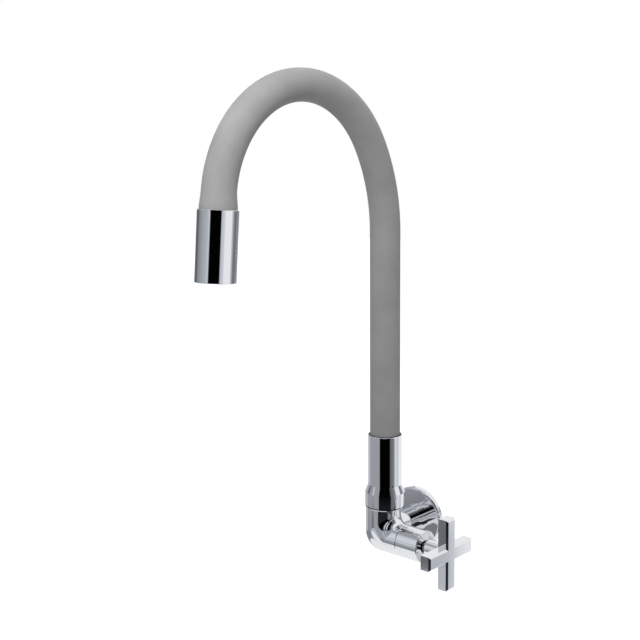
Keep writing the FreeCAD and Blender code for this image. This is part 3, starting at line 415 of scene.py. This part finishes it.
def standCasting():
    toWall = Matrix.Rotation(math.radians(-90), 4, "X")
    toHandle = Matrix.Rotation(math.radians(90), 4, "Y")
    armPlace = Matrix.Translation((0, 0, casting["armHeight"])) @ toWall
    armRadius, armEnd = casting["armRadius"], casting["armEnd"]
    gripLow, gripHigh = casting["gripGroove"]
    past = casting["overrun"]
    piece = castingSweep()
    arm = turnedSolid("armWall", [
        (armRadius, 0), (armRadius, gripLow), (casting["gripFloor"], gripLow),
        (casting["gripFloor"], gripHigh), (armRadius, gripHigh), (armRadius, armEnd)], armPlace)
    shoulder = turnedSolid("neckShoulder", casting["shoulder"], Matrix.Identity(4))
    combine(piece, [arm, shoulder], "UNION")
    socketRadius, socketFloor = casting["armSocket"]
    screwRadius, screwAt = casting["armScrew"]
    seatRadius, seatFloor = casting["valveSocket"]
    outletRadius, outletFloor = casting["outlet"]
    threadRadius, threadFloor = casting["outletThread"]
    top, end = casting["neckTop"] + past, casting["limbEnd"] + past
    down = Matrix.Translation((0, screwAt, casting["armHeight"])) @ Matrix.Rotation(math.pi, 4, "X")
    combine(piece, [
        bore("armSocket", socketRadius, socketFloor, armEnd + past, armPlace),
        bore("inletWay", casting["inletRadius"], 0, socketFloor + past, armPlace),
        bore("armScrewWay", screwRadius, 0, armRadius + past, down),
        bore("valveSocket", seatRadius, seatFloor, end, toHandle),
        bore("seatWay", casting["inletRadius"], 0, seatFloor + past, toHandle),
        bore("outletWay", outletRadius, outletFloor, top, Matrix.Identity(4)),
        bore("outletThread", threadRadius, threadFloor, top, Matrix.Identity(4)),
    ], "DIFFERENCE")
    shape = bmesh.new()
    shape.from_mesh(piece.data)
    bmesh.ops.remove_doubles(shape, verts=shape.verts, dist=casting["weld"])
    crease = math.radians(casting["creaseAngle"])
    for face in shape.faces:
        face.smooth = True
    for edge in shape.edges:
        edge.smooth = len(edge.link_faces) == 2 and edge.calc_face_angle() < crease
    bmesh.ops.transform(shape, matrix=Matrix.Translation(casting["place"]), verts=shape.verts)
    shape.to_mesh(piece.data)
    shape.free()
    piece.data.materials.clear()
    piece.data.materials.append(finishes["chrome"])
    return piece


cornerCasting = standCasting()
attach(cornerCasting, "base")
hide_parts("corner_body")
print("corner casting swept:", len(cornerCasting.data.polygons), "faces")

# The gooseneck's line: a straight riser, three tangent arcs and a short straight end, in metres
gooseneck = {
    "footZ": 0.06105,
    "bendZ": 0.2817,
    "arcs": ((0.1584, 31.1), (0.098, 135.0), (0.0838, 9.7)),
    "flareLength": 0.011,
    "bendStartY": -0.098,
    "bendEndY": -0.218,
    "bendZTop": 0.411,
}


def neckPlaces(step, past):
    # frames along the line, one each step, and how far each is from the foot: their Z is the way
    # the line runs
    places = [Matrix.Translation((0, riserY, gooseneck["footZ"]))]
    travels = [0.0]

    def advance(move, length):
        places.append(move @ places[-1])
        travels.append(travels[-1] + length)

    def runStraight(length):
        count = max(1, round(length / step))
        along = places[-1].to_3x3() @ Vector((0, 0, length / count))
        for _ in range(count):
            advance(Matrix.Translation(along), length / count)

    runStraight(gooseneck["bendZ"] - gooseneck["footZ"])
    for radius, turn in gooseneck["arcs"]:
        count = max(1, round(radius * math.radians(turn) / step))
        middle = places[-1] @ Vector((0, -radius, 0))
        swing = Matrix.Rotation(math.radians(turn / count), 4, "X")
        move = Matrix.Translation(middle) @ swing @ Matrix.Translation(-middle)
        for _ in range(count):
            advance(move, radius * math.radians(turn / count))
    runStraight(gooseneck["flareLength"] + past)
    return places, travels


def sweepNeck(name, places, radii, tube, slotName):
    # a tube grown ring by ring along the line, then given its wall inwards
    shape = bmesh.new()
    rings = [place @ Matrix.Scale(radius, 4) for place, radius in zip(places, radii)]
    growRings(shape, rings, tube["sides"])
    bmesh.ops.recalc_face_normals(shape, faces=shape.faces)
    bmesh.ops.solidify(shape, geom=list(shape.faces), thickness=tube["wall"])
    bmesh.ops.recalc_face_normals(shape, faces=shape.faces)
    for face in shape.faces:
        face.smooth = True
    piece = addObject(name, shape)
    piece.data.materials.append(finishes[slotName])
    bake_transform(piece)
    return piece


# Silicone sleeve: even until it widens over the nozzle's mandrel, and seated in the nozzle
sleeve = {
    "radius": 0.014, "flareRadius": 0.0152, "flareLead": 0.004, "wall": 0.0031, "step": 0.004,
    "sides": 72, "seatLength": 0.00342, "seatRings": 3,
}
places, travels = neckPlaces(sleeve["step"], 0.0)
flareLength = gooseneck["flareLength"] + sleeve["flareLead"]
flareStart = travels[-1] - flareLength
seatStep = sleeve["seatLength"] / sleeve["seatRings"]
for _ in range(sleeve["seatRings"]):
    places.append(places[-1] @ Matrix.Translation((0, 0, seatStep)))
    travels.append(travels[-1] + seatStep)
radii = []
for travel in travels:
    share = min(1.0, max(0.0, (travel - flareStart) / flareLength))
    radii.append(sleeve["radius"] + (sleeve["flareRadius"] - sleeve["radius"]) * eased(share))
siliconeSleeve = sweepNeck("siliconeSleeve", places, radii, sleeve, "silicone")
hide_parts("silicone_sleeve")

# Interlocked core: a flat steel strip wound on itself, seen as a ridge every few millimetres
core = {
    "radius": 0.0103, "groove": 0.0007, "wall": 0.0013, "pitch": 0.0048, "ridgeRings": 4,
    "end": -0.0093, "sides": 40,
}
ridgeRings = core["ridgeRings"]
places = neckPlaces(core["pitch"] / ridgeRings, core["end"])[0]
radii = [core["radius"] - core["groove"] * (index % ridgeRings >= ridgeRings / 2)
         for index in range(len(places))]
interlockedCore = sweepNeck("interlockedCore", places, radii, core, "steel")
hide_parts("gooseneck_core")

# Water hose inside the core, from its start above the sleeve's foot
hose = {
    "radius": 0.00675, "wall": 0.0027, "start": 0.004, "end": 0.001, "step": 0.005, "sides": 32,
}
places, travels = neckPlaces(hose["step"], hose["end"])
places = [place for place, travel in zip(places, travels) if travel >= hose["start"]]
waterHose = sweepNeck("waterHose", places, [hose["radius"]] * len(places), hose, "hose")
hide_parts("inner_hose")
print("sleeve, core and hose swept along the neck")

# Painted shade round the sleeve's foot, in metres: a thin black ring in the mouth of the collar
# that stands in for the shade in the gap between sleeve and collar
paintedShadeRing = {"inner": 0.0138, "outer": 0.01535, "sunk": 0.0003, "proud": 0.0002, "sides": 96}


def seatPaintedShadeRing():
    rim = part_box("spout_socket")[1][2]
    low, high = rim - paintedShadeRing["sunk"], rim + paintedShadeRing["proud"]
    inner, outer = paintedShadeRing["inner"], paintedShadeRing["outer"]
    corners = ((inner, low), (outer, low), (outer, high), (inner, high))
    piece = turnedShape("paintedShadeRing", corners, True, paintedShadeRing["sides"],
                        Matrix.Translation((0, riserY, 0)))
    # the black seal rubber here is painted shade in the collar's mouth
    piece.data.materials.append(finishes["seal"])
    return piece


collarShadeRing = seatPaintedShadeRing()
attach(collarShadeRing, "spout")
print("foot seal set")

# Studio: a white surround, soft lamps, a pale floor, and round walls that only the metal mirrors
studio = {
    "worldGrey": "#e6e7ea", "fill": 0.58, "backdrop": "#ffffff", "wallSides": 120,
    "floorZ": -0.36, "floorSize": 6.0, "floorAlbedo": 0.9, "floorGlow": 0.75,
}


def hideFromAllButMirrors(card):
    card.visible_camera = False
    card.visible_diffuse = False
    card.visible_shadow = False
    card.visible_transmission = False


def standSurround(surround):
    # upright walls round the studio that only the metal mirrors, painted by height and by the
    # angle from the camera's side
    centre = Vector(surround["centre"])
    edgeOn = centre + Vector((surround["radius"], 0, 0))
    shape = bmesh.new()
    for low, high in surround["walls"]:
        verts = [shape.verts.new((edgeOn.x, edgeOn.y, z)) for z in (low, high)]
        edge = shape.edges.new(verts)
        bmesh.ops.spin(shape, geom=verts + [edge], cent=centre, axis=(0, 0, 1),
                       angle=math.tau, steps=studio["wallSides"], use_merge=True)
    material, tree, place = newMaterial(surround["name"])
    moved = addNode(tree, "ShaderNodeMapping", {"Vector": place}, {"Location": -centre},
                    vector_type="POINT")
    turned = addNode(tree, "ShaderNodeMapping", {"Vector": moved.outputs["Vector"]},
                     {"Rotation": (0, 0, -math.radians(surround["ahead"]))}, vector_type="POINT")
    around = addNode(tree, "ShaderNodeTexGradient", {"Vector": turned.outputs["Vector"]},
                     gradient_type="RADIAL")
    height = addNode(tree, "ShaderNodeSeparateXYZ", {"Vector": place}).outputs["Z"]
    colour, lastHeight = None, None
    for rowHeight, stops in surround["rows"]:
        ramp = addNode(tree, "ShaderNodeValToRGB", {"Fac": around.outputs["Fac"]})
        setRamp(ramp, [((angle + 180) / 360, tones[tone]) for angle, tone in stops])
        if colour is None:
            colour = ramp.outputs["Color"]
        else:
            rise = addNode(tree, "ShaderNodeMapRange", {"Value": height},
                           {"From Min": lastHeight, "From Max": rowHeight})
            colour = addNode(tree, "ShaderNodeMix", {0: rise.outputs["Result"], 6: colour,
                                                     7: ramp.outputs["Color"]},
                             data_type="RGBA").outputs[2]
        lastHeight = rowHeight
    glow = addNode(tree, "ShaderNodeEmission", {"Color": colour}, {"Strength": 1.0})
    closeMaterial(tree, glow)
    walls = addObject(surround["name"], shape)
    walls.data.materials.append(material)
    hideFromAllButMirrors(walls)


# The greys that the walls are painted in
tones = {
    "black": "#020203", "charcoal": "#2c2e33", "slate": "#6a6c70", "pewter": "#8c8f95",
    "ash": "#a6a9af", "silver": "#c4c8ce", "pearl": "#e2e6ea", "white": "#ffffff",
}
# Each level is a row round the wall: angles in degrees from the camera's side, growing towards
# image right, and the grey there, with a soft change from one to the next
tableLevel = [(-180, "silver"), (-140, "pewter"), (-100, "pewter"), (-92, "ash"), (-82, "white"),
              (-37, "white"), (-35, "charcoal"), (33, "charcoal"), (35, "white"), (90, "white"),
              (98, "silver"), (101, "silver"), (103, "white"), (180, "white")]
lowLevel = [(-180, "silver"), (-140, "pewter"), (-108, "pewter"), (-86, "ash"), (-76, "silver"),
            (-37, "silver"), (-35, "charcoal"), (33, "charcoal"), (35, "pewter"), (66, "pewter"),
            (68, "pearl"), (90, "pearl"), (98, "silver"), (101, "silver"), (103, "white"),
            (180, "white")]
groundLevel = [(-180, "white"), (180, "white")]
darkCorner = [(-180, "silver"), (-125, "silver"), (-112, "pewter"), (-92, "ash"), (-68, "slate"),
              (-63, "ash"), (-37, "ash"), (-35, "charcoal"), (33, "charcoal"), (35, "slate"),
              (66, "pewter"), (68, "pearl"), (90, "pearl"), (98, "silver"), (101, "silver"),
              (103, "white"), (180, "white")]
socketLevel = [(-180, "silver"), (-125, "silver"), (-112, "ash"), (-37, "ash"), (-35, "black"),
               (33, "black"), (35, "slate"), (66, "pewter"), (68, "pearl"), (90, "pearl"),
               (98, "silver"), (104, "white"), (180, "white")]
eyeLevel = [(-180, "white"), (-125, "ash"), (-75, "silver"), (-37, "silver"), (-35, "black"),
            (30, "black"), (35, "slate"), (66, "pewter"), (68, "pearl"), (180, "white")]
skirting = [(-180, "white"), (-150, "silver"), (-104, "ash"), (-80, "ash"), (-77, "pearl"),
            (-70, "pearl"), (-68, "ash"), (-32, "pewter"), (-22, "pearl"), (12, "pearl"),
            (22, "charcoal"), (58, "charcoal"), (66, "silver"), (78, "white"), (94, "white"),
            (99, "silver"), (125, "silver"), (140, "white"), (180, "white")]
upperLevel = [(-180, "white"), (-160, "white"), (-150, "ash"), (-104, "silver"), (-80, "pearl"),
              (-73, "pearl"), (-70, "ash"), (-37, "ash"), (-35, "black"), (30, "black"),
              (35, "slate"), (64, "pewter"), (68, "white"), (180, "white")]
ceilingLevel = [(-180, "white"), (-160, "white"), (-150, "ash"), (-40, "ash"), (20, "pewter"),
                (60, "pewter"), (68, "white"), (180, "white")]
nozzleLevel = [(-180, "pewter"), (-134, "slate"), (-111, "slate"), (-106, "pewter"),
               (-43, "silver"), (-37, "pearl"), (-31, "black"), (23, "black"), (26, "silver"),
               (43, "pearl"), (49, "white"), (85, "white"), (91, "pearl"), (106, "pewter"),
               (129, "slate"), (136, "ash"), (180, "pewter")]
nozzleTop = [(-180, "pewter"), (-134, "slate"), (-111, "slate"), (-106, "pewter"), (-79, "ash"),
             (-77, "pearl"), (-70, "pearl"), (-68, "ash"), (-43, "silver"), (-37, "pearl"),
             (-31, "black"), (23, "black"), (26, "silver"), (43, "pearl"), (49, "white"),
             (85, "white"), (91, "pearl"), (106, "pewter"), (129, "slate"), (136, "ash"),
             (180, "pewter")]
# Walls from height to height, and their rows, in metres. The near walls leave a gap at the
# nozzle's height, and the far wall is seen through it. Ahead is the camera's side, in degrees.
nearWalls = {
    "name": "nearWalls", "centre": (0, riserY, 0), "radius": 0.8, "ahead": -51.1,
    "walls": ((-0.9, 0.105), (0.36, 1.2)),
    "rows": ((-0.66, groundLevel), (-0.61, tableLevel), (-0.45, tableLevel),
             (-0.385, lowLevel), (-0.348, lowLevel), (-0.334, darkCorner),
             (-0.27, darkCorner), (-0.22, socketLevel), (-0.14, socketLevel),
             (-0.02, eyeLevel), (0.06, skirting), (0.36, upperLevel), (0.55, upperLevel),
             (0.85, ceilingLevel)),
}
farWall = {
    "name": "farWall", "centre": (0, riserY, 0), "radius": 2.4, "ahead": -51.1,
    "walls": ((-0.9, 1.4),),
    "rows": ((0.43, nozzleLevel), (0.45, nozzleTop), (0.52, nozzleTop), (0.54, skirting),
             (0.75, skirting), (0.9, upperLevel)),
}
for surround in (nearWalls, farWall):
    standSurround(surround)


def seenDirectly(tree, rays):
    # 1 for the rays of the camera and of mirrors, which see plain white, and 0 for soft light
    sources = {0: rays.outputs["Is Camera Ray"], 1: rays.outputs["Is Glossy Ray"]}
    return addNode(tree, "ShaderNodeMath", sources, operation="MAXIMUM").outputs[0]


world = bpy.data.worlds.new("studioWorld")
bpy.context.scene.world = world
world.use_nodes = True
tree = world.node_tree
tree.nodes.clear()
rays = addNode(tree, "ShaderNodeLightPath")
sources = {0: seenDirectly(tree, rays), 1: rays.outputs["Is Transmission Ray"]}
seen = addNode(tree, "ShaderNodeMath", sources, operation="MAXIMUM").outputs[0]
fill = addNode(tree, "ShaderNodeBackground",
               inputs={"Color": linear(studio["worldGrey"]), "Strength": studio["fill"]})
white = addNode(tree, "ShaderNodeBackground",
                inputs={"Color": linear(studio["backdrop"]), "Strength": 1.0})
mixed = addNode(tree, "ShaderNodeMixShader", {0: seen, 1: fill.outputs[0], 2: white.outputs[0]})
addNode(tree, "ShaderNodeOutputWorld", {"Surface": mixed.outputs[0]})

# Disc lamps, in metres and watts: a key light in front and a wide soft one overhead
lamps = (
    {"name": "keyFront", "place": (0.26, -0.62, 0.68), "target": (0, -0.24, 0.33),
     "size": 0.25, "power": 3.2},
    {"name": "topSoft", "place": (0.2, -0.4, 1.2), "target": (0, -0.15, 0.2),
     "size": 0.8, "power": 5.0},
)


def hangLamp(name, place, target, size, power):
    # a lamp that lights the part and is neither seen nor mirrored
    data = bpy.data.lights.new(name, "AREA")
    data.shape = "DISK"
    data.size = size
    data.energy = power
    lamp = bpy.data.objects.new(name, data)
    bpy.context.collection.objects.link(lamp)
    lamp.matrix_world = aimed(place, Vector(target) - Vector(place))
    lamp.visible_glossy = False
    lamp.visible_camera = False


for lamp in lamps:
    hangLamp(**lamp)

# Matt floor that takes the part's shadow, and glows a little so that it stays pale
shape = bmesh.new()
bmesh.ops.create_grid(shape, x_segments=1, y_segments=1, size=studio["floorSize"],
                      matrix=Matrix.Translation((0, 0, studio["floorZ"])))
floor = addObject("studioFloor", shape)
material, tree = bareMaterial("paleFloor")
seen = seenDirectly(tree, addNode(tree, "ShaderNodeLightPath"))
albedo = studio["floorAlbedo"]
matt = addNode(tree, "ShaderNodeBsdfDiffuse", inputs={"Color": (albedo, albedo, albedo, 1)})
glow = addNode(tree, "ShaderNodeEmission",
               inputs={"Color": linear(studio["backdrop"]), "Strength": studio["floorGlow"]})
both = addNode(tree, "ShaderNodeAddShader", {0: matt.outputs[0], 1: glow.outputs[0]})
mixed = addNode(tree, "ShaderNodeMixShader", {0: seen, 1: matt.outputs[0], 2: both.outputs[0]})
closeMaterial(tree, mixed)
floor.data.materials.append(material)
floor.visible_glossy = False
print("studio set")
